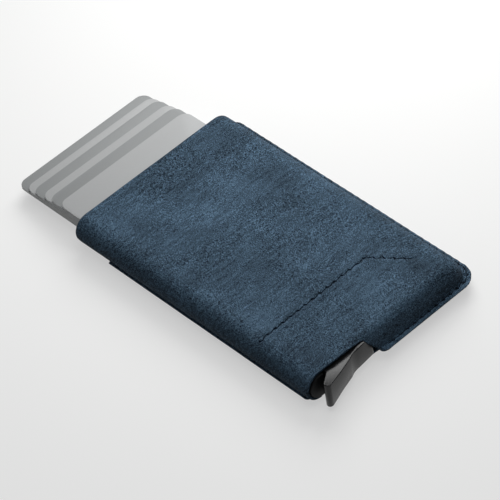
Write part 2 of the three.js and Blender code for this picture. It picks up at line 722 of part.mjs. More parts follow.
addPiece('leather_wrap', leatherWrap(), finish(LEATHER_BLUE, 0.55));
addPiece('back_pocket', backPocket(), finish(LEATHER_BLUE, 0.55));
addPiece('front_lining', frontLining(), finish(LINING_GREY, 0.9));
addPiece('front_film', film(caseTop), finish(ADHESIVE, 0.6));
addPiece('back_film', film(backTop), finish(ADHESIVE, 0.6));
addPiece('case_tube', caseTube(), finish(ALUMINIUM, 0.35, 1));
addPiece('rail_left', rail(-1), finish(BLACK_PLASTIC, 0.6));
addPiece('rail_right', rail(1), finish(BLACK_PLASTIC, 0.6));
addPiece('felt_left', felt(-1), finish(FELT_GREY, 1));
addPiece('felt_right', felt(1), finish(FELT_GREY, 1));
addPiece('pivot_block', pivotBlock(), finish(BLACK_PLASTIC, 0.5));
addPiece('end_plug', endPlug(), finish(BLACK_PLASTIC, 0.5));
addPiece('lever', lever(), finish(LEVER_GREY, 0.45));
addPiece('pivot_pin', pivotPin(), finish(STEEL, 0.3, 1));
addPiece('return_spring', returnSpring(), finish(SPRING_STEEL, 0.35, 1));
for (let index = 0; index < cardCount; index += 1) {
  const color = index % 2 ? DARK_CARD : LIGHT_CARD;
  addPiece(`card_${index + 1}`, card(index), finish(color, 0.4));
}

export default wallet;
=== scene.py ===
import math

import bpy
from bpy.props import FloatProperty, FloatVectorProperty, PointerProperty
from mathutils import Matrix, Vector, noise
from mathutils.kdtree import KDTree


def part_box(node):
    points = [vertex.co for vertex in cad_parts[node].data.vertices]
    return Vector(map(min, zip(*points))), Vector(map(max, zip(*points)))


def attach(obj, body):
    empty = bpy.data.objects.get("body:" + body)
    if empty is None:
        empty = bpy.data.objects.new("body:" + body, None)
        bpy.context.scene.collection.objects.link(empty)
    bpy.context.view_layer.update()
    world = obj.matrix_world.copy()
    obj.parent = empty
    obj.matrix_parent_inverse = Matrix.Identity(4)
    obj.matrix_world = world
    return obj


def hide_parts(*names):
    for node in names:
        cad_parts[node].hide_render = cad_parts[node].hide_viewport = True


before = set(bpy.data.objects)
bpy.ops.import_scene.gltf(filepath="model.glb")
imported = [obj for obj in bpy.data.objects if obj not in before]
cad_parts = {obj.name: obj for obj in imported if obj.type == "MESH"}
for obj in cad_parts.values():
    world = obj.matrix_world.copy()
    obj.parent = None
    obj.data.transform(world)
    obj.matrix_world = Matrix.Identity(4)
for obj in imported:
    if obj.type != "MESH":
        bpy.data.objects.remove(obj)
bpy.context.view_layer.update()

bl_info = {
    "name": "Pop-up card wallet",
    "version": (1, 0, 0),
    "blender": (4, 5, 0),
    "location": "View3D > Sidebar > Wallet",
    "description": "Leather, thread, cards, lever and metal of a pop-up card wallet",
    "category": "Object",
}

MM = 0.001


def box_mm(node):
    """Lowest and highest corner of a CAD node, in millimetres."""
    low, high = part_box(node)
    return low / MM, high / MM


WRAP_LOW, WRAP_HIGH = box_mm("leather_wrap")
POCKET_HIGH = box_mm("back_pocket")[1]
CASE_LOW, CASE_HIGH = box_mm("case_tube")

# Sleeve, in millimetres: the spine is half round, and the front and back lie on the case
MOUTH_Y = WRAP_HIGH.y
END_Y = -MOUTH_Y
FRONT_TOP = WRAP_HIGH.z
BACK_BOTTOM = WRAP_LOW.z
SPINE_X = CASE_LOW.x + (CASE_HIGH.z - CASE_LOW.z) / 2
SPINE_Z = (FRONT_TOP + BACK_BOTTOM) / 2
SPINE_RADIUS = (FRONT_TOP - BACK_BOTTOM) / 2
CUT_ROUND = 0.16

# Flange: its front layer droops towards the edge, and at the end its back layer stops short
FLANGE_RIGHT = WRAP_HIGH.x
FLANGE_END = WRAP_LOW.y
FLANGE_WIDTH = 3.2
FLANGE_WIDTH_END = 1.9
FLANGE_TOP = 4.5
FLANGE_BOTTOM = 2.7
FLANGE_CORNER = 7.0
FLANGE_TIP_ROUND = 2.2
FLANGE_MOUTH_ROUND = 1.2
FLANGE_DROOP = 0.35
FOOT_RIGHT = FLANGE_RIGHT - FLANGE_WIDTH
FOOT_END = FLANGE_END + FLANGE_WIDTH_END
UNDER_REACH = 0.95
UNDER_TIP_X = -0.8

# Slope of the back up to the flange: right side, end and rise
BACK_SLOPE = ((31.1, -51.1, 0), (31.7, -51.4, 0.08), (32.6, -51.9, 0.4), (33.5, -52.4, 0.9))

# Back pocket: it hugs the spine, and its rim lies under the flange
POCKET_FLAT_X = SPINE_X + 3.3
POCKET_RADIUS = SPINE_RADIUS + 0.9 + 0.05
HUG_DEGREES = range(80, 37, -6)
RIM_Z = POCKET_HIGH.z - 0.9

# Levels of the pocket: out from the flange's foot, short of its end, height, wider corner
POCKET_STEPS = (
    (-3.0, 3.8, 0.0, 0), (-2.3, 3.2, 0.1, 0), (-1.4, 2.3, 0.6, 0), (-0.6, 1.5, 1.25, 0),
    (0, 0.95, RIM_Z - 0.12, 0), (0.6, 0.65, RIM_Z, 0.4), (1.2, 0.35, RIM_Z, 0.8),
    (1.8, 0.05, RIM_Z, 1.2),
)

# Moulded wall between the flat front and the flange
FLAT_RIGHT = 28.7
FLAT_END = -48.8
FORM_CORNER = 5.0
WALL_DEGREES = (84, 78, 72, 64, 56, 48, 40, 32, 24, 16, 9)
WALL_FULLNESS = 2.4

# Open corner at the lever: where the end wall starts, and the front's lip over it
WINDOW_TOP_X = -8.0
WINDOW_FOOT_X = -3.2
LIP_Y = END_Y - 0.4
LIP_SLANT = 0.2
LIP_LEVELS = 5
LIP_BLEND = 6.0
LIP_DIP = 0.15

# Cells of the folded cut round its corners and the spine
CORNER_CELLS = 24
SPINE_CELLS = 18

# Sewn line on the front, level and then slanted, and the bands of finer cells that hold it
SEAM = [Vector((-27.6, -29.2)), Vector((16.0, -29.0)), Vector((25.2, -41.0))]
LEVEL_BAND = (-27.6, -30.6)
SLANT_BAND_END = -42.4
SLANT_BAND_X = 14.0

# Stitches: leans in degrees, lengths and depths in millimetres, the rest shares and counts
STITCH_LEAN = 14
STITCH_REACH = 0.8
STITCH_SAG = 0.22
STITCH_STEPS = 8
THREAD_SIDES = 8
LOCK_LEAN = -41
LOCK_LENGTH = 1.15
LOCK_REACH = 0.3
LOCK_SWELL = 1.2
FLANGE_SINK = 0.16
FLANGE_LOCK_SINK = 0.22
RIM_SINK = 0.06
FRONT_SINK = 0.2
FRONT_LOCK_SINK = 0.1
SEWN_RIGHT = 0.62
SEWN_END = 0.24
CORNER_STEPS = 12

# Turned-in hem at the mouth: its inner edge shows through the front
HEM_Y = MOUTH_Y - 16.2
HEM_RIDGE = (0.06, 0.6)
# Painted shade: how much darker the tone is drawn on the right of the hem
HEM_SHADE = -0.02

# Relief of the leather: heights and widths in millimetres
UNEVEN_BROAD = (0.07, 13)
UNEVEN_FINE = (0.035, 4.5)
GROOVE = (0.2, 0.5)
SHOULDER = (0.06, 0.5)
SHOULDER_AWAY = 1.0
DENT = (0.34, 0.75)
PULL = (0.4, 1.4)
PUCKER = 0.14
PUCKER_WAVES = 28
PUCKER_RISE = 4
MOUTH_ROLL = (0.12, 1.6)

# Patterns in the leather: widths of their cells in millimetres, and shifts of its tone
NAP_WIDTH = 0.16
CLOUD_WIDTH = 15
STREAK_LENGTH = 7
STREAK_WIDTH = 1.1
PEBBLE_WIDTH = 0.7
BROAD_SWING = 0.14
# Painted shade: the hollows between the pebbles of the grain are drawn darker
PEBBLE_HOLLOW_SHADE = -0.06
# Painted light: how much paler the end of the flange is drawn
FLANGE_END_PAINTED_LIGHT = 0.04
FLECK_RANGE = (0.58, 0.74)
FLECK_POWER = 1.6

# Points this near and faces this flat become one, and edges this sharp are rounded
WELD = 0.001 * MM
CAD_WELD = 0.002 * MM
FLAT_ANGLE = math.radians(0.5)
EDGE_ANGLE = math.radians(40)

# Stage, in metres and watts: each lamp has a place, a power and a size
LAMP_TARGET = (0, 0, 0.006)
LAMPS = {
    "key_lamp": ((0.15, 0.105, 0.18), 0.6, 0.2),
    "top_lamp": ((-0.02, -0.08, 0.45), 0.42, 0.3),
}
FLOOR_SIZE = 8
FLOOR_DROP = -0.0002
FLOOR_LIT = 0.5
FLOOR_LIFT = 0.5
SKY_STRENGTH = 0.2
SENSOR_MM = 36.0
CLIP_START = 0.01


def linear(hex_color):
    """Linear red, green and blue of an sRGB hex colour."""
    shares = [int(hex_color[k:k + 2], 16) / 255 for k in (1, 3, 5)]
    return [s / 12.92 if s <= 0.04045 else ((s + 0.055) / 1.055) ** 2.4 for s in shares]


def rgba(color):
    """A colour with full alpha, from a hex colour or three linear values."""
    return [*(linear(color) if isinstance(color, str) else color), 1.0]


def shaded(color, share):
    """A colour made darker or lighter by a share."""
    return rgba([min(1, c * share) for c in rgba(color)[:3]])


# Settings


class SleeveSettings(bpy.types.PropertyGroup):
    leather: FloatProperty(
        name="Leather thickness", description="Thickness of the sleeve's leather",
        default=0.85 * MM, unit="LENGTH")
    flange_pitch: FloatProperty(
        name="Flange stitch pitch", description="Distance from stitch to stitch on the flange",
        default=3.0 * MM, unit="LENGTH")
    seam_pitch: FloatProperty(
        name="Front stitch pitch", description="Distance from stitch to stitch on the front",
        default=3.06 * MM, unit="LENGTH")
    thread: FloatProperty(
        name="Thread", description="Diameter of the sewing thread",
        default=0.42 * MM, unit="LENGTH")
    # The leather is mixed from these two colours: partly its own flecked nap, and partly painted
    # light, a painted highlight on the tips of the grain and painted shade in its hollows
    dark: FloatVectorProperty(
        name="Leather shade", description="Leather colour in the hollows of the grain",
        default=linear("#0a131c"), subtype="COLOR")
    light: FloatVectorProperty(
        name="Leather fleck", description="Leather colour on the tips of the grain",
        default=linear("#7394b0"), subtype="COLOR")


class CardSettings(bpy.types.PropertyGroup):
    light: FloatVectorProperty(
        name="Light card", description="Face of the first, third and fifth card",
        default=linear("#b3b4b4"), subtype="COLOR")
    dark: FloatVectorProperty(
        name="Dark card", description="Face of the second, fourth and sixth card",
        default=linear("#979999"), subtype="COLOR")
    edge: FloatProperty(
        name="Edge rounding", description="Rounding of the cards' cut edges",
        default=0.08 * MM, unit="LENGTH")


class LeverSettings(bpy.types.PropertyGroup):
    edge: FloatProperty(
        name="Edge rounding", description="Rounding of the lever's edges",
        default=0.22 * MM, unit="LENGTH")
    color: FloatVectorProperty(
        name="Lever", description="Colour of the lever",
        default=linear("#1f2021"), subtype="COLOR")


class StageSettings(bpy.types.PropertyGroup):
    lens: FloatProperty(
        name="Lens", description="Focal length on a sensor 36 mm wide, in millimetres",
        default=242.28)
    place: FloatVectorProperty(
        name="Camera place", description="Where the camera stands",
        default=(-0.43207, -0.57517, 0.72551), subtype="TRANSLATION", unit="LENGTH")
    sight: FloatVectorProperty(
        name="Line of sight", description="Direction that the camera looks in",
        default=(0.42318552, 0.56862456, -0.7053936), subtype="DIRECTION")
    roll: FloatProperty(
        name="Roll", description="Turn of the camera about its line of sight",
        default=math.radians(-9.89), subtype="ANGLE")
    floor: FloatVectorProperty(
        name="Floor", description="Colour of the floor", default=linear("#f2f2f0"),
        subtype="COLOR")


# Nodes and finishes


def add_node(tree, kind, sockets=None, **settings):
    """Adds a node, sets its settings, and sets or links its sockets."""
    node = tree.nodes.new(kind)
    for name, value in settings.items():
        setattr(node, name, value)
    for name, value in (sockets or {}).items():
        if isinstance(value, bpy.types.NodeSocket):
            tree.links.new(value, node.inputs[name])
        else:
            node.inputs[name].default_value = value
    return node


def new_finish(name, sockets):
    """A material with one principled shader, and its node tree and shader."""
    material = bpy.data.materials.new(name)
    material.use_nodes = True
    tree = material.node_tree
    tree.nodes.clear()
    shader = add_node(tree, "ShaderNodeBsdfPrincipled", sockets)
    add_node(tree, "ShaderNodeOutputMaterial", {"Surface": shader.outputs["BSDF"]})
    return material, tree, shader


def per_mm(size):
    """Texture scale at which one cell of a pattern is this many millimetres wide."""
    return 1 / (size * MM)


def leather_finish(settings):
    """Polyurethane leather with a buffed nap: pale flecks on a dark ground, cloudy and matt."""
    material, tree, shader = new_finish("buffed_leather", {
        "Roughness": 0.75, "IOR": 1.46, "Specular IOR Level": 0.1,
        "Sheen Weight": 0.03, "Sheen Roughness": 0.5,
    })
    place = add_node(tree, "ShaderNodeTexCoord").outputs["Object"]
    # The real nap is finer than a pixel, so it is drawn wide enough to show
    nap = add_node(tree, "ShaderNodeTexNoise", {
        "Vector": place, "Scale": per_mm(NAP_WIDTH), "Detail": 1.0, "Roughness": 0.6})
    cloud = add_node(tree, "ShaderNodeTexNoise", {
        "Vector": place, "Scale": per_mm(CLOUD_WIDTH), "Detail": 4.0, "Roughness": 0.55})
    across = per_mm(STREAK_WIDTH)
    drawn = add_node(tree, "ShaderNodeMapping", {
        "Vector": place, "Scale": (per_mm(STREAK_LENGTH), across, across)})
    streak = add_node(tree, "ShaderNodeTexNoise", {
        "Vector": drawn.outputs["Vector"], "Scale": 1.0, "Detail": 3.0})
    grain = add_node(tree, "ShaderNodeTexVoronoi", {
        "Vector": place, "Scale": per_mm(PEBBLE_WIDTH), "Randomness": 1.0}, feature="SMOOTH_F1")
    # Painted shade: on the right of the hem the nap lies the other way and takes the light less, so
    # the tone is drawn darker there
    at = add_node(tree, "ShaderNodeSeparateXYZ", {"Vector": place}).outputs
    hem = add_node(tree, "ShaderNodeMapRange", {
        "Value": at["Y"], "From Min": (HEM_Y - 0.5) * MM, "From Max": (HEM_Y + 0.7) * MM})
    side = add_node(tree, "ShaderNodeMapRange", {
        "Value": at["X"], "From Min": -8 * MM, "From Max": 4 * MM, "To Max": HEM_SHADE})
    # Painted light: the end of the flange is drawn paler, for the light that the end wall keeps off
    # it
    painted_light_end = add_node(tree, "ShaderNodeMapRange", {
        "Value": at["Y"], "From Min": (FOOT_END - 0.1) * MM,
        "From Max": (FOOT_END - 0.7) * MM})
    # Each pattern shifts the tone of the nap by its own swing
    tone = nap.outputs["Fac"]
    for pattern, swing in (
            (cloud.outputs["Fac"], BROAD_SWING), (streak.outputs["Fac"], BROAD_SWING),
            # The pebbles' hollows are drawn darker, a painted shade
            (grain.outputs["Distance"], PEBBLE_HOLLOW_SHADE),
            (hem.outputs["Result"], side.outputs["Result"]),
            (painted_light_end.outputs["Result"], FLANGE_END_PAINTED_LIGHT)):
        shifted = add_node(
            tree, "ShaderNodeMath", {0: pattern, 1: swing, 2: tone}, operation="MULTIPLY_ADD")
        tone = shifted.outputs["Value"]
    spread = add_node(tree, "ShaderNodeMapRange", {
        "Value": tone, "From Min": FLECK_RANGE[0], "From Max": FLECK_RANGE[1]})
    flecked = add_node(tree, "ShaderNodeMath", {
        0: spread.outputs["Result"], 1: FLECK_POWER}, operation="POWER")
    color = add_node(tree, "ShaderNodeMix", {
        "Factor": flecked.outputs["Value"], "A": rgba(settings.dark),
        "B": rgba(settings.light)}, data_type="RGBA")
    tree.links.new(color.outputs["Result"], shader.inputs["Base Color"])
    pebbled = add_node(tree, "ShaderNodeBump", {
        "Strength": 0.4, "Distance": 0.15 * MM, "Height": grain.outputs["Distance"]},
        invert=True)
    napped = add_node(tree, "ShaderNodeBump", {
        "Strength": 0.7, "Distance": 0.2 * MM, "Height": nap.outputs["Fac"],
        "Normal": pebbled.outputs["Normal"]})
    tree.links.new(napped.outputs["Normal"], shader.inputs["Normal"])
    return material


def speckled_finish(name, color, size, depth, swing, sockets):
    """A finish with a fine mottle in its colour and a shallow grain of the same size."""
    material, tree, shader = new_finish(name, sockets)
    place = add_node(tree, "ShaderNodeTexCoord").outputs["Object"]
    mottle = add_node(tree, "ShaderNodeTexNoise", {
        "Vector": place, "Scale": per_mm(size), "Detail": 4.0, "Roughness": 0.6})
    mixed = add_node(tree, "ShaderNodeMix", {
        "Factor": mottle.outputs["Fac"], "A": shaded(color, 1 - swing),
        "B": shaded(color, 1 + swing)}, data_type="RGBA")
    tree.links.new(mixed.outputs["Result"], shader.inputs["Base Color"])
    grain = add_node(tree, "ShaderNodeBump", {
        "Strength": 0.6, "Distance": depth * MM, "Height": mottle.outputs["Fac"]})
    tree.links.new(grain.outputs["Normal"], shader.inputs["Normal"])
    return material


def brushed_finish(name, color, sockets):
    """A metal finished with fine lines along Y, as drawn or brushed stock has."""
    material, tree, shader = new_finish(name, sockets)
    place = add_node(tree, "ShaderNodeTexCoord").outputs["Object"]
    lines = add_node(tree, "ShaderNodeMapping", {
        "Vector": place, "Scale": (per_mm(0.25), per_mm(9), per_mm(0.25))})
    brush = add_node(tree, "ShaderNodeTexNoise", {
        "Vector": lines.outputs["Vector"], "Scale": 1.0, "Detail": 3.0})
    rough = add_node(tree, "ShaderNodeMapRange", {
        "Value": brush.outputs["Fac"], "To Min": 0.24, "To Max": 0.46})
    tree.links.new(rough.outputs["Result"], shader.inputs["Roughness"])
    mixed = add_node(tree, "ShaderNodeMix", {
        "Factor": brush.outputs["Fac"], "A": shaded(color, 0.8), "B": rgba(color)},
        data_type="RGBA")
    tree.links.new(mixed.outputs["Result"], shader.inputs["Base Color"])
    return material


# Modelling


def select_none():
    """Leaves no object selected."""
    for item in bpy.context.selected_objects:
        item.select_set(False)


def activate(piece):
    """Makes a piece the only selected and the active object."""
    select_none()
    piece.select_set(True)
    bpy.context.view_layer.objects.active = piece


def apply_modifier(piece, kind, **settings):
    """Adds a modifier with its settings and applies it."""
    activate(piece)
    modifier = piece.modifiers.new(kind.title(), kind)
    for name, value in settings.items():
        setattr(modifier, name, value)
    bpy.ops.object.modifier_apply(modifier=modifier.name)


def shade(piece, degrees):
    """Smooth shading up to an angle between faces."""
    activate(piece)
    bpy.ops.object.shade_smooth_by_angle(angle=math.radians(degrees))
    select_none()


def dress(piece, body, material, slot, *nodes):
    """Gives a piece its finish and its body, and hides what it stands for; its slot is not used."""
    piece.data.materials.clear()
    piece.data.materials.append(material)
    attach(piece, body)
    if nodes:
        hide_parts(*nodes)
    return piece


def finish_node(node, material):
    """Gives a CAD node its finish, and leaves its mesh as it is."""
    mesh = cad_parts[node].data
    mesh.materials.clear()
    mesh.materials.append(material)


def softened_copy(node, name, radius):
    """A copy of a CAD node with its flat faces made whole and its edges rounded."""
    piece = bpy.data.objects.new(name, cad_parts[node].data.copy())
    bpy.context.scene.collection.objects.link(piece)
    activate(piece)
    bpy.ops.object.mode_set(mode="EDIT")
    bpy.ops.mesh.select_all(action="SELECT")
    bpy.ops.mesh.remove_doubles(threshold=CAD_WELD)
    bpy.ops.mesh.dissolve_limited(angle_limit=FLAT_ANGLE)
    bpy.ops.object.mode_set(mode="OBJECT")
    apply_modifier(
        piece, "BEVEL", width=radius, segments=2, limit_method="ANGLE",
        angle_limit=EDGE_ANGLE, use_clamp_overlap=False, harden_normals=False)
    shade(piece, 50)
    return piece


def spaced(*zones):
    """Positions through zones of start, stop and spacing, each zone split evenly."""
    marks = [zones[0][0]]
    for start, stop, spacing in zones:
        count = max(1, round(abs(stop - start) / spacing))
        marks += [start + (stop - start) * k / count for k in range(1, count + 1)]
    return marks


# Leather sheets


def flange_height(share):
    """Height of the flange's upper side at a share of the way from its foot to its edge."""
    return FLANGE_TOP - FLANGE_DROOP * share ** 3


def flange_corner(share):
    """Radius of the flange's corner at a share of the way from its foot to its edge."""
    return FORM_CORNER + (FLANGE_CORNER - FORM_CORNER) * share


def front_levels():
    """From the front panel's edge down the walls and out over the flange."""
    levels = [(FLAT_RIGHT, FLAT_END, FRONT_TOP, FORM_CORNER)]
    for degrees in WALL_DEGREES:
        turn = math.radians(degrees)
        down = math.sin(turn) ** (2 / WALL_FULLNESS)
        out = math.cos(turn) ** (2 / WALL_FULLNESS)
        right = FLAT_RIGHT + (FOOT_RIGHT - FLAT_RIGHT) * math.cos(turn)
        end = FLAT_END + (FOOT_END - FLAT_END) * out
        levels.append((right, end, FLANGE_TOP + (FRONT_TOP - FLANGE_TOP) * down, FORM_CORNER))
    levels.append((FOOT_RIGHT + 0.05, FOOT_END - 0.05, FLANGE_TOP + 0.4, FORM_CORNER))
    levels.append((FOOT_RIGHT + 0.3, FOOT_END - 0.22, FLANGE_TOP + 0.1, FORM_CORNER))
    for share in (0.22, 0.35, 0.5, 0.65, 0.8, 1.0):
        right = FOOT_RIGHT + FLANGE_WIDTH * share
        end = FOOT_END - FLANGE_WIDTH_END * share
        levels.append((right, end, flange_height(share), flange_corner(share)))
    return levels


def back_levels():
    """From the back panel's edge up a low slope and out under the flange."""
    levels = [(right, end, BACK_BOTTOM + rise, FORM_CORNER) for right, end, rise in BACK_SLOPE]
    levels.append((34.1, -52.8, FLANGE_BOTTOM - 0.1, FORM_CORNER))
    for share in (0.0, 0.35, 0.7, 1.0):
        right = FOOT_RIGHT + FLANGE_WIDTH * share
        end = FOOT_END - UNDER_REACH * share
        levels.append((right, end, FLANGE_BOTTOM, flange_corner(share)))
    return levels


def pocket_levels():
    """From the pocket's flat face up to its rim under the flange."""
    return [
        (FOOT_RIGHT + out, FOOT_END + short, z, FORM_CORNER + wider)
        for out, short, z, wider in POCKET_STEPS]


class LeatherSide:
    """One flat side of a folded sheet, with levels past its right side and its end.

    Columns run from the spine to the right, and rows from the mouth to the end. The last
    cells of both make the round corner, where the two strips of levels meet."""

    def __init__(self, xs, ys, levels, window, tip):
        right, end, _, radius = levels[0]
        stretch = (ys[0] - end - radius) / (ys[0] - ys[-1])
        self.xs = xs
        self.ys = [ys[0] + (y - ys[0]) * stretch for y in ys]
        self.levels = levels
        self.window = window
        self.tip = tip
        self.columns = len(xs) - 1 + CORNER_CELLS
        self.rows = len(ys) - 1 + CORNER_CELLS
        self.depth = len(levels) - 1

    def turned(self, level, degrees):
        """A point on a level's round corner, turned from the right side to the end."""
        right, end, z, radius = self.levels[level]
        turn = math.radians(degrees)
        x = right - radius + radius * math.cos(turn)
        return Vector((x, end + radius - radius * math.sin(turn), z))

    def flat(self, column, row):
        """A point on the flat part, fanned out in the corner."""
        right, end, z, radius = self.levels[0]
        past = (column - len(self.xs) + 1) / CORNER_CELLS
        below = (row - len(self.ys) + 1) / CORNER_CELLS
        if past > 0 and below > 0:
            degrees = 45 * below / past if past >= below else 90 - 45 * past / below
            middle = Vector((right - radius, end + radius, z))
            return middle.lerp(self.turned(0, degrees), max(past, below))
        x = right - radius + radius * past if past > 0 else self.xs[column]
        y = end + radius - radius * below if below > 0 else self.ys[row]
        return Vector((x, y, z))

    def side(self, level, row):
        """A point on a level past the right side."""
        right, end, z, radius = self.levels[level]
        below = (row - len(self.ys) + 1) / CORNER_CELLS
        if below > 0:
            return self.turned(level, 45 * below)
        share = (self.ys[0] - self.ys[row]) / (self.ys[0] - self.ys[-1])
        mouth = self.ys[0] - drawn_back(FLANGE_RIGHT - right, FLANGE_MOUTH_ROUND)
        return Vector((right, mouth + (end + radius - mouth) * share, z))

    def end(self, level, column):
        """A point on a level past the end."""
        right, end, z, radius = self.levels[level]
        past = (column - len(self.xs) + 1) / CORNER_CELLS
        if past > 0:
            return self.turned(level, 90 - 45 * past)
        first = self.xs[self.window]
        left = self.tip(z) + drawn_back(end - FLANGE_END, FLANGE_TIP_ROUND)
        share = (self.xs[column] - first) / (self.xs[-1] - first)
        return Vector((left + (right - radius - left) * share, end, z))

    def spot(self, column, row):
        """The place of a corner of the flat cut, or None where the cut leaves it out."""
        over = column - self.columns
        under = row - self.rows
        if over > 0:
            return self.side(over, row) if under <= 0 else None
        if under > 0:
            inside = under <= self.depth and column >= self.window
            return self.end(under, column) if inside else None
        return self.flat(column, row)


def drawn_back(from_edge, radius):
    """How far a rounded end of the flange draws back at a distance from the flange's edge."""
    rise = max(0, radius - from_edge)
    return radius - math.sqrt(radius ** 2 - min(rise, radius) ** 2)


def slanted_tip(z):
    """Left end of the end wall at a height: the leather is cut on a slant by the lever."""
    top = front_levels()[LIP_LEVELS][2]
    share = min(1, max(0, (z - FLANGE_TOP) / (top - FLANGE_TOP)))
    return WINDOW_FOOT_X + (WINDOW_TOP_X - WINDOW_FOOT_X) * share


def lip_end(x):
    """Where the front's edge over the lever lies, a little further out by the end wall."""
    share = (WINDOW_TOP_X - x) / (WINDOW_TOP_X - SPINE_X)
    return LIP_Y - LIP_SLANT * (1 - share)


def lip_spot(level, x):
    """The front's lip over the lever: curved as the wall beside it, then flat to the spine."""
    share = level / LIP_LEVELS
    _, end, z, _ = front_levels()[level]
    out = min(1, (WINDOW_TOP_X - x) / LIP_BLEND)
    flat = Vector((x, FLAT_END + (lip_end(x) - FLAT_END) * share, FRONT_TOP - LIP_DIP * share ** 2))
    return Vector((x, end, z)).lerp(flat, out * out * (3 - 2 * out))


def folded_sheet(name, columns, rows, spot):
    """A flat cut, folded: each corner of a grid goes to its spot, and spare ones go."""
    select_none()
    bpy.ops.mesh.primitive_grid_add(x_subdivisions=columns, y_subdivisions=rows, size=2)
    piece = bpy.context.object
    piece.name = name
    spare = []
    for vertex in piece.data.vertices:
        column = round((vertex.co.x + 1) / 2 * columns)
        row = round((1 - vertex.co.y) / 2 * rows)
        place = spot(column, row)
        spare.append(place is None)
        vertex.co = Vector((0, 0, 0)) if place is None else place * MM
    activate(piece)
    bpy.ops.object.mode_set(mode="EDIT")
    bpy.ops.mesh.select_mode(type="VERT")
    bpy.ops.mesh.select_all(action="DESELECT")
    bpy.ops.object.mode_set(mode="OBJECT")
    for vertex, gone in zip(piece.data.vertices, spare):
        vertex.select = gone
    bpy.ops.object.mode_set(mode="EDIT")
    bpy.ops.mesh.delete(type="VERT")
    bpy.ops.mesh.select_all(action="SELECT")
    bpy.ops.mesh.remove_doubles(threshold=WELD)
    bpy.ops.object.mode_set(mode="OBJECT")
    return piece


def thicken(piece, thickness, edge):
    """Gives a sheet its thickness inwards and rounds its cut edges."""
    mesh = piece.data
    mesh.materials.append(None)
    mesh.materials.append(None)
    apply_modifier(
        piece, "SOLIDIFY", thickness=thickness, offset=-1, use_even_offset=False,
        material_offset_rim=1)
    # The edges between the cut face, which has the second slot, and the two sides
    cut = {}
    for face in mesh.polygons:
        for key in face.edge_keys if face.material_index == 1 else ():
            cut[key] = cut.get(key, 0) + 1
    weights = mesh.attributes.new("bevel_weight_edge", "FLOAT", "EDGE")
    for line in mesh.edges:
        weights.data[line.index].value = cut.get(line.key, 0) == 1
    apply_modifier(
        piece, "BEVEL", width=edge, segments=3, limit_method="WEIGHT",
        use_clamp_overlap=False)
    shade(piece, 60)


def raise_leather(piece, relief):
    """Moves each point of a sheet by the relief for its place and normal."""
    normals = [vertex.normal.copy() for vertex in piece.data.vertices]
    for vertex, normal in zip(piece.data.vertices, normals):
        vertex.co += relief(vertex.co / MM, normal) * MM


def sewn_line(right, end, radius, mouth, tip):
    """Line of stitches from the mouth along the right side, round the corner, to the tip."""
    points = [Vector((right, mouth)), Vector((right, end + radius))]
    for k in range(1, CORNER_STEPS + 1):
        turn = math.radians(90 * k / CORNER_STEPS)
        x = right - radius + radius * math.cos(turn)
        points.append(Vector((x, end + radius - radius * math.sin(turn))))
    return points + [Vector((tip + FLANGE_TIP_ROUND, end))]


def flange_line():
    """Line of the stitches on the flange."""
    right = FOOT_RIGHT + FLANGE_WIDTH * SEWN_RIGHT
    end = FOOT_END - FLANGE_WIDTH_END * SEWN_END
    radius = flange_corner((SEWN_RIGHT + SEWN_END) / 2)
    return sewn_line(right, end, radius, MOUTH_Y - 1.2, WINDOW_FOOT_X)


def rim_line():
    """Line of the stitches on the pocket's rim."""
    right, end, _, radius = pocket_levels()[-2]
    return sewn_line(right, end, radius, POCKET_HIGH.y - 1.5, UNDER_TIP_X)


def stitch_places(points, pitch, start=0.5):
    """Places and directions of one pitch along a line of points, from a share of a pitch."""
    lengths = [(b - a).length for a, b in zip(points, points[1:])]
    count = round(sum(lengths) / pitch)
    step = sum(lengths) / count
    places = []
    for k in range(count):
        rest = (k + start) * step
        for a, b, length in zip(points, points[1:], lengths):
            if rest <= length:
                places.append((a.lerp(b, rest / length), (b - a).normalized()))
                break
            rest -= length
    return places


def distance_to_line(point, line):
    """Distance in plan from a point to a line of points."""
    best = math.inf
    for a, b in zip(line, line[1:]):
        along = (b - a) / (b - a).length_squared
        share = min(1, max(0, (point - a).dot(along)))
        best = min(best, (point - a.lerp(b, share)).length)
    return best


def swell(distance, height, width):
    """Height of a smooth swelling at a distance from its middle."""
    return height * math.exp(-(distance / width) ** 2)


def soft_unevenness(point):
    """Slow unevenness of leather over a hard case."""
    broad, fine = (
        height * noise.noise(point / width) for height, width in (UNEVEN_BROAD, UNEVEN_FINE))
    return broad + fine


def flange_share(plan):
    """Share of the way from the flange's foot to its edge at a place in plan."""
    foot = plan - Vector((FOOT_RIGHT - FORM_CORNER, FOOT_END + FORM_CORNER))
    edge = plan - Vector((FLANGE_RIGHT - FLANGE_CORNER, FLANGE_END + FLANGE_CORNER))
    if edge.x > 0 and edge.y < 0:
        past = foot.length - FORM_CORNER
        share = past / (past + FLANGE_CORNER - edge.length)
    else:
        share = max(
            (plan.x - FOOT_RIGHT) / FLANGE_WIDTH, (FOOT_END - plan.y) / FLANGE_WIDTH_END)
    return min(1, max(0, share))


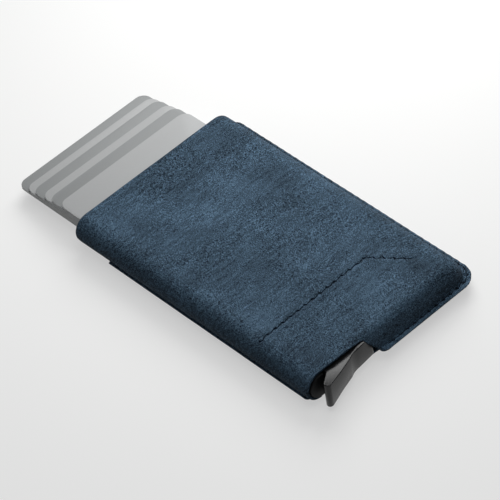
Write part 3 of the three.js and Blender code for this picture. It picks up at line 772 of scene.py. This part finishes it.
def sleeve_relief(flange_pitch):
    """Relief of the sleeve: unevenness, sewn grooves, dents under stitches and puckers."""
    holes = stitch_places(flange_line(), flange_pitch, 0)
    tree = KDTree(len(holes))
    for index, (hole, _) in enumerate(holes):
        tree.insert((hole.x, hole.y, 0), index)
    tree.balance()
    corner = Vector((FOOT_RIGHT - FORM_CORNER, FOOT_END + FORM_CORNER))

    def relief(point, normal):
        lift = soft_unevenness(point)
        pull = Vector((0, 0, 0))
        plan = Vector((point.x, point.y))
        if point.z > FRONT_TOP - 1:
            near = distance_to_line(plan, SEAM)
            lift += swell(near - SHOULDER_AWAY, *SHOULDER)
            lift -= swell(near, *GROOVE)
            lift += swell(point.y - HEM_Y, *HEM_RIDGE)
        out = plan - corner
        share = flange_share(plan)
        if share > 0 and FLANGE_BOTTOM - 0.05 < point.z < FLANGE_TOP + 0.2:
            near = tree.find((point.x, point.y, 0))[2]
            lift -= swell(near, *DENT)
            inward = Vector((-max(0, out.x), max(0, -out.y), 0)).normalized()
            pull = inward * share * swell(near, *PULL)
        low, high = FLANGE_TOP - FLANGE_DROOP, FLANGE_TOP + PUCKER_RISE
        if out.x > 0 and out.y < 0 and low < point.z < high:
            turn = math.atan2(-out.y, out.x)
            rim = min(1, (1 - share) / 0.4)
            rise = min(1, 1 - (point.z - FLANGE_TOP) / PUCKER_RISE)
            fade = math.sin(2 * turn) * rim * rise
            lift += PUCKER * fade * math.sin(PUCKER_WAVES * turn)
        depth, width = MOUTH_ROLL
        past = point.y - (MOUTH_Y - width)
        if past > 0:
            lift -= depth * (past / width) ** 2
        return normal * lift + pull

    return relief


class WALLET_OT_sleeve(bpy.types.Operator):
    """Makes the moulded leather sleeve from one cut, folded round the case"""

    bl_idname = "wallet.sleeve"
    bl_label = "Leather sleeve"

    def execute(self, context):
        settings = context.scene.wallet_sleeve
        above, below = LEVEL_BAND
        ys = spaced(
            (MOUTH_Y, MOUTH_Y - 2, 0.4), (MOUTH_Y - 2, above, 0.95), (above, below, 0.2),
            (below, SLANT_BAND_END, 0.36), (SLANT_BAND_END, FLAT_END + FORM_CORNER, 0.7))
        left = spaced((SPINE_X, WINDOW_TOP_X, 1.0))
        corner_x = FLAT_RIGHT - FORM_CORNER
        xs = left + spaced(
            (WINDOW_TOP_X, SLANT_BAND_X, 1.0), (SLANT_BAND_X, corner_x, 0.3))[1:]
        front = LeatherSide(xs, ys, front_levels(), len(left) - 1, slanted_tip)
        levels = back_levels()
        right, _, _, radius = levels[0]
        back_left = spaced((SPINE_X, WINDOW_FOOT_X, 1.7))
        back_xs = back_left + spaced((WINDOW_FOOT_X, right - radius, 1.7))[1:]
        back = LeatherSide(back_xs, ys, levels, len(back_left) - 1, lambda z: UNDER_TIP_X)
        rows = front.rows

        def spine(cell, row):
            """A point on the half round of the spine, and on the lip past its end."""
            turn = math.radians(-90 - 180 * cell / SPINE_CELLS)
            x = SPINE_X + SPINE_RADIUS * math.cos(turn)
            ends = [panel.flat(0, min(row, rows)).y for panel in (back, front)]
            y = ends[0] + (ends[1] - ends[0]) * cell / SPINE_CELLS
            if row > rows:
                y += (lip_end(SPINE_X) - y) * (row - rows) / LIP_LEVELS
            return Vector((x, y, SPINE_Z + SPINE_RADIUS * math.sin(turn)))

        start = back.depth + back.columns
        other = start + SPINE_CELLS

        def spot(column, row):
            """The place of a corner of the cut, from the back's edge round to the front's."""
            if rows < row <= rows + LIP_LEVELS and start <= column < other + front.window:
                if column <= other:
                    return spine(column - start, row)
                return lip_spot(row - rows, front.xs[column - other])
            if column <= start:
                return back.spot(start - column, row)
            if column >= other:
                return front.spot(column - other, row)
            return spine(column - start, row) if row <= rows else None

        columns = other + front.columns + front.depth
        piece = folded_sheet("leather_sleeve", columns, rows + front.depth, spot)
        raise_leather(piece, sleeve_relief(settings.flange_pitch / MM))
        thicken(piece, settings.leather, CUT_ROUND * MM)
        material = leather_finish(settings)
        dress(piece, "sleeve", material, "leather", "leather_wrap")
        return {"FINISHED"}


class WALLET_OT_pocket(bpy.types.Operator):
    """Makes the leather panel of the back pocket, open towards the mouth"""

    bl_idname = "wallet.pocket"
    bl_label = "Back pocket"

    def execute(self, context):
        settings = context.scene.wallet_sleeve
        levels = pocket_levels()
        right, end, _, radius = levels[0]
        ys = spaced(
            (POCKET_HIGH.y, POCKET_HIGH.y - 2, 0.5), (POCKET_HIGH.y - 2, end + radius, 1.2))
        left = spaced((POCKET_FLAT_X, WINDOW_FOOT_X, 1.6))
        xs = left + spaced((WINDOW_FOOT_X, right - radius, 1.6))[1:]
        panel = LeatherSide(xs, ys, levels, len(left) - 1, lambda z: UNDER_TIP_X)
        hug = [(POCKET_FLAT_X - 1.1, 0.03), (POCKET_FLAT_X - 2.2, 0.12)]
        for degrees in HUG_DEGREES:
            turn = math.radians(180 + degrees)
            x = SPINE_X + POCKET_RADIUS * math.cos(turn)
            hug.append((x, SPINE_Z + POCKET_RADIUS * math.sin(turn)))

        start = panel.depth + panel.columns

        def spot(column, row):
            """The place of a corner of the cut, from the flange to the edge on the spine."""
            if column <= start:
                return panel.spot(start - column, row)
            if row > panel.rows:
                return None
            x, z = hug[column - start - 1]
            return Vector((x, panel.flat(0, row).y, z))

        piece = folded_sheet(
            "pocket_panel", start + len(hug), panel.rows + panel.depth, spot)
        raise_leather(
            piece, lambda point, normal: normal * (0.5 * soft_unevenness(point) - 0.05))
        thicken(piece, settings.leather, CUT_ROUND * MM)
        material = bpy.data.materials["buffed_leather"]
        dress(piece, "sleeve", material, "leather", "back_pocket")
        return {"FINISHED"}


# Stitches


def front_surface(plan):
    """Point and normal of the front panel or spine over a place in plan."""
    if plan.x >= SPINE_X:
        return Vector((plan.x, plan.y, FRONT_TOP)), Vector((0, 0, 1))
    rise = math.sqrt(SPINE_RADIUS ** 2 - (plan.x - SPINE_X) ** 2)
    normal = Vector((plan.x - SPINE_X, 0, rise)).normalized()
    return Vector((plan.x, plan.y, SPINE_Z + rise)), normal


def one_stitch(length, thread):
    """One bowed stitch along X: a round thread spun through an arc, its ends turned down."""
    sag = STITCH_SAG * length / 2
    bow = ((length / 2) ** 2 + sag ** 2) / (2 * sag)
    sweep = 2 * math.asin(length / 2 / bow)
    select_none()
    start = Matrix.Rotation(-sweep / 2, 4, "Y")
    bpy.ops.mesh.primitive_circle_add(
        vertices=THREAD_SIDES, radius=thread / 2, fill_type="NGON",
        location=start @ Vector((0, 0, bow)), rotation=(0, math.pi / 2 - sweep / 2, 0))
    stitch = bpy.context.object
    bpy.ops.object.transform_apply(location=True, rotation=True, scale=True)
    bpy.ops.object.mode_set(mode="EDIT")
    bpy.ops.mesh.select_all(action="SELECT")
    bpy.ops.mesh.spin(
        steps=STITCH_STEPS, angle=-sweep, center=(0, 0, 0), axis=(0, 1, 0),
        use_auto_merge=False)
    bpy.ops.mesh.select_all(action="SELECT")
    bpy.ops.mesh.remove_doubles(threshold=WELD)
    bpy.ops.mesh.normals_make_consistent(inside=False)
    bpy.ops.object.mode_set(mode="OBJECT")
    stitch.data.transform(Matrix.Translation((0, 0, -bow)))
    return stitch


def sew(name, stitch, placements):
    """Copies a stitch to each placement and joins the copies in one piece."""
    copies = []
    for point, along, up in placements:
        across = up.cross(along).normalized()
        turned = Matrix((across.cross(up), across, up)).transposed().to_4x4()
        copy = bpy.data.objects.new(name, stitch.data.copy())
        copy.data.transform(Matrix.Translation(point * MM) @ turned)
        bpy.context.scene.collection.objects.link(copy)
        copies.append(copy)
    select_none()
    for copy in copies:
        copy.select_set(True)
    bpy.context.view_layer.objects.active = copies[0]
    bpy.ops.object.join()
    bpy.data.objects.remove(stitch)
    piece = bpy.context.object
    shade(piece, 60)
    return piece


def thread_finish(name, color):
    """Bonded polyester sewing thread, spun from fine plies: dull, with a fine shadow play."""
    return speckled_finish(name, color, 0.25, 0.05, 0.35, {
        "Roughness": 0.8, "Specular IOR Level": 0.1})


class WALLET_OT_stitches(bpy.types.Operator):
    """Sews the flange, the pocket's rim and the line on the front"""

    bl_idname = "wallet.stitches"
    bl_label = "Stitches"

    def on_flange(self, place, lean, depth):
        """Point, direction and normal of a stitch sunk in the flange by a depth."""
        middle, along = place
        turned = Matrix.Rotation(math.radians(lean), 2) @ along
        z = flange_height(flange_share(middle)) - depth
        return Vector((*middle, z)), Vector((*turned, 0)), Vector((0, 0, 1))

    def on_rim(self, place):
        """Point, direction and normal of a stitch under the pocket's rim."""
        middle, along = place
        return Vector((*middle, RIM_Z + RIM_SINK)), Vector((*along, 0)), Vector((0, 0, -1))

    def on_front(self, place, lean, depth):
        """Point, direction and normal of a stitch sunk in the front by a depth."""
        middle, along = place
        point, normal = front_surface(middle)
        turned = Vector((*(Matrix.Rotation(math.radians(lean), 2) @ along), 0))
        turned = (turned - normal * turned.dot(normal)).normalized()
        return point - normal * depth, turned, normal

    def execute(self, context):
        settings = context.scene.wallet_sleeve
        upper = thread_finish("sewing_thread", "#141f2a")
        # Where the thread locks in its hole it lies in shadow, and so is drawn darker
        lock = thread_finish("locked_thread", "#0b1420")
        thread = settings.thread
        pitch = settings.flange_pitch
        places = stitch_places(flange_line(), pitch / MM)
        holes = stitch_places(flange_line(), pitch / MM, 0)
        rows = [
            ("flange_stitches", upper, pitch * STITCH_REACH, thread, [
                self.on_flange(place, 0, FLANGE_SINK) for place in places]),
            ("flange_locks", lock, pitch * LOCK_REACH, LOCK_SWELL * thread, [
                self.on_flange(place, LOCK_LEAN, FLANGE_LOCK_SINK) for place in holes]),
            ("rim_stitches", upper, pitch * STITCH_REACH, thread, [
                self.on_rim(place) for place in stitch_places(rim_line(), pitch / MM)]),
        ]
        pitch = settings.seam_pitch
        places = stitch_places(SEAM, pitch / MM)
        holes = stitch_places(SEAM, pitch / MM, 0)
        rows += [
            ("front_stitches", upper, pitch * STITCH_REACH, thread, [
                self.on_front(place, STITCH_LEAN, FRONT_SINK) for place in places]),
            ("front_locks", lock, LOCK_LENGTH * MM, LOCK_SWELL * thread, [
                self.on_front(place, LOCK_LEAN, FRONT_LOCK_SINK) for place in holes]),
        ]
        for name, finish, length, size, spots in rows:
            dress(sew(name, one_stitch(length, size), spots), "sleeve", finish, "leather")
        return {"FINISHED"}


# Cards


def card_finish(name, color):
    """Printed and laminated card: an even satin face, with the faint mottle of the print."""
    return speckled_finish(name, color, 0.6, 0.004, 0.03, {
        "Roughness": 0.55, "Specular IOR Level": 0.25})


class WALLET_OT_cards(bpy.types.Operator):
    """Makes the six plain cards with rounded cut edges"""

    bl_idname = "wallet.cards"
    bl_label = "Cards"

    def execute(self, context):
        settings = context.scene.wallet_cards
        faces = [
            card_finish("laminated_card_light", settings.light),
            card_finish("laminated_card_dark", settings.dark),
        ]
        # White PVC, bare where the cards are cut: bright and dull
        core = speckled_finish("white_pvc", "#fafaf8", 0.3, 0.004, 0.04, {"Roughness": 0.55})
        for number in range(1, 7):
            node = f"card_{number}"
            piece = softened_copy(node, f"{node}_body", settings.edge)
            dark = number % 2 == 0
            dress(piece, node, faces[dark], "card_dark" if dark else "card_light", node)
            piece.data.materials.append(core)
            # The printed faces lie flat, and the cut edge shows the white core
            for face in piece.data.polygons:
                face.material_index = 1 if abs(face.normal.z) < 0.6 else 0
        return {"FINISHED"}


# Lever, end pieces, case and spring


class WALLET_OT_lever(bpy.types.Operator):
    """Makes the lever with its rounded edges"""

    bl_idname = "wallet.lever"
    bl_label = "Lever"

    def execute(self, context):
        settings = context.scene.wallet_lever
        # Nylon from a smooth mould: dark, with a clear sheen on its slanted faces
        finish = speckled_finish("satin_nylon", settings.color, 0.35, 0.012, 0.08, {
            "Roughness": 0.27, "IOR": 1.42})
        piece = softened_copy("lever", "lever_body", settings.edge)
        dress(piece, "lever", finish, "lever_plastic", "lever")
        return {"FINISHED"}


class WALLET_OT_end_pieces(bpy.types.Operator):
    """Makes the block that carries the pin, the plug that closes the case, and the rails"""

    bl_idname = "wallet.end_pieces"
    bl_label = "End pieces"

    def execute(self, context):
        # ABS from a grained mould: near black, and dull
        finish = speckled_finish("moulded_abs", "#121315", 0.4, 0.015, 0.12, {
            "Roughness": 0.6, "IOR": 1.52, "Specular IOR Level": 0.2})
        edges = {"body": 0.15 * MM, "strip": 0.12 * MM}
        pieces = {
            "pivot_block": "body", "end_plug": "body", "rail_left": "strip", "rail_right": "strip",
        }
        for node, form in pieces.items():
            piece = softened_copy(node, f"{node}_{form}", edges[form])
            dress(piece, "sleeve", finish, "black_plastic", node)
        return {"FINISHED"}


class WALLET_OT_case(bpy.types.Operator):
    """Makes the anodised case with its edges eased, and finishes what lies inside"""

    bl_idname = "wallet.case"
    bl_label = "Case and linings"

    def execute(self, context):
        # Drawn and anodised aluminium: pale grey, with soft streaks along its length
        metal = brushed_finish("anodised_aluminium", "#9a9ca0", {"Metallic": 1.0})
        piece = softened_copy("case_tube", "case_shell", 0.1 * MM)
        dress(piece, "sleeve", metal, "aluminium", "case_tube")
        # Pressed wool felt: dark, with a fuzz that pales at its edges
        felt = speckled_finish("wool_felt", "#2b2b2d", 0.3, 0.12, 0.4, {
            "Roughness": 0.95, "Sheen Weight": 0.4, "Sheen Roughness": 0.6})
        # Woven lining: dark, with the small shadows of its threads
        lining = speckled_finish("woven_lining", "#22262b", 0.4, 0.05, 0.3, {
            "Roughness": 0.9})
        # Adhesive film: pale and slightly cloudy
        film = speckled_finish("adhesive_film", "#c8c8c0", 1.2, 0.02, 0.08, {
            "Roughness": 0.55})
        finishes = {
            "felt_left": felt, "felt_right": felt, "front_lining": lining,
            "front_film": film, "back_film": film,
        }
        for node, finish in finishes.items():
            finish_node(node, finish)
        return {"FINISHED"}


class WALLET_OT_spring(bpy.types.Operator):
    """Makes the pin with its edges eased, and finishes the torsion spring beside it"""

    bl_idname = "wallet.spring"
    bl_label = "Spring and pin"

    def execute(self, context):
        # Drawn steel: bright, with fine lines along its length
        steel = brushed_finish("drawn_steel", "#b9bbbe", {"Metallic": 1.0})
        piece = softened_copy("pivot_pin", "pivot_pin_body", 0.15 * MM)
        dress(piece, "sleeve", steel, "steel", "pivot_pin")
        finish_node("return_spring", steel)
        return {"FINISHED"}


# Stage


def soft_lamp(name, place, target, power, size):
    """A square soft lamp that faces a target."""
    select_none()
    aim = (Vector(target) - Vector(place)).to_track_quat("-Z", "Y")
    bpy.ops.object.light_add(type="AREA", location=place, rotation=aim.to_euler())
    lamp = bpy.context.object
    lamp.name = name
    lamp.data.energy = power
    lamp.data.size = size
    lamp.visible_camera = False


class WALLET_OT_stage(bpy.types.Operator):
    """Lays the pale floor and sets the lamps and the camera"""

    bl_idname = "wallet.stage"
    bl_label = "Stage"

    def execute(self, context):
        settings = context.scene.wallet_stage
        scene = context.scene
        select_none()
        bpy.ops.mesh.primitive_plane_add(size=FLOOR_SIZE, location=(0, 0, FLOOR_DROP))
        floor = bpy.context.object
        floor.name = "floor"
        bpy.ops.object.transform_apply(location=True, rotation=True, scale=True)
        # Matt paper: an even, pale ground without sheen
        material, tree, shader = new_finish("floor_paper", {
            "Roughness": 0.9, "Specular IOR Level": 0.0, "Emission Color": rgba("#ffffff")})
        path = add_node(tree, "ShaderNodeLightPath").outputs
        seen = path["Is Camera Ray"]
        for ray in ("Is Glossy Ray", "Is Transmission Ray"):
            either = add_node(
                tree, "ShaderNodeMath", {0: seen, 1: path[ray]}, operation="MAXIMUM")
            seen = either.outputs["Value"]
        color = add_node(tree, "ShaderNodeMix", {
            "Factor": seen, "A": rgba("#6c6c6c"), "B": shaded(settings.floor, FLOOR_LIT)},
            data_type="RGBA")
        tree.links.new(color.outputs["Result"], shader.inputs["Base Color"])
        # Lifts the floor towards white where it is seen, and lights nothing
        lift = add_node(tree, "ShaderNodeMath", {0: seen, 1: FLOOR_LIFT}, operation="MULTIPLY")
        tree.links.new(lift.outputs["Value"], shader.inputs["Emission Strength"])
        floor.data.materials.append(material)

        world = bpy.data.worlds.new("studio")
        scene.world = world
        world.use_nodes = True
        tree = world.node_tree
        tree.nodes.clear()
        path = add_node(tree, "ShaderNodeLightPath").outputs
        tone = add_node(tree, "ShaderNodeMix", {
            "Factor": path["Is Camera Ray"], "A": rgba("#c4c8cc"),
            "B": rgba(settings.floor)}, data_type="RGBA")
        strength = add_node(tree, "ShaderNodeMapRange", {
            "Value": path["Is Camera Ray"], "To Min": SKY_STRENGTH, "To Max": 1.0})
        sky = add_node(tree, "ShaderNodeBackground", {
            "Color": tone.outputs["Result"], "Strength": strength.outputs["Result"]})
        add_node(tree, "ShaderNodeOutputWorld", {"Surface": sky.outputs["Background"]})

        for name, (place, power, size) in LAMPS.items():
            soft_lamp(name, place, LAMP_TARGET, power, size)

        sight = Vector(settings.sight).normalized()
        level = sight.cross(Vector((0, 0, 1))).normalized()
        above = level.cross(sight)
        turn = settings.roll
        right = level * math.cos(turn) + above * math.sin(turn)
        top = above * math.cos(turn) - level * math.sin(turn)
        select_none()
        bpy.ops.object.camera_add()
        camera = bpy.context.object
        camera.name = "photo_camera"
        camera.matrix_world = Matrix.Translation(settings.place) @ Matrix(
            (right, top, -sight)).transposed().to_4x4()
        camera.data.sensor_width = SENSOR_MM
        camera.data.lens = settings.lens
        camera.data.clip_start = CLIP_START
        scene.camera = camera
        scene.view_settings.view_transform = "Standard"
        return {"FINISHED"}


OPERATORS = (
    WALLET_OT_stage, WALLET_OT_sleeve, WALLET_OT_pocket, WALLET_OT_stitches, WALLET_OT_cards,
    WALLET_OT_lever, WALLET_OT_end_pieces, WALLET_OT_case, WALLET_OT_spring,
)


class WALLET_PT_pieces(bpy.types.Panel):
    """Lists the wallet's pieces"""

    bl_idname = "WALLET_PT_pieces"
    bl_label = "Card wallet"
    bl_space_type = "VIEW_3D"
    bl_region_type = "UI"
    bl_category = "Wallet"

    def draw(self, context):
        for operator in OPERATORS:
            self.layout.operator(operator.bl_idname)


SETTINGS = {
    "wallet_sleeve": SleeveSettings,
    "wallet_cards": CardSettings,
    "wallet_lever": LeverSettings,
    "wallet_stage": StageSettings,
}
CLASSES = (*SETTINGS.values(), *OPERATORS, WALLET_PT_pieces)


def register():
    for group in CLASSES:
        bpy.utils.register_class(group)
    for name, group in SETTINGS.items():
        setattr(bpy.types.Scene, name, PointerProperty(type=group))


def unregister():
    for name in SETTINGS:
        delattr(bpy.types.Scene, name)
    for group in reversed(CLASSES):
        bpy.utils.unregister_class(group)


def main():
    register()
    for operator in OPERATORS:
        getattr(bpy.ops.wallet, operator.bl_idname.split(".")[1])()


if __name__ == "__main__":
    main()
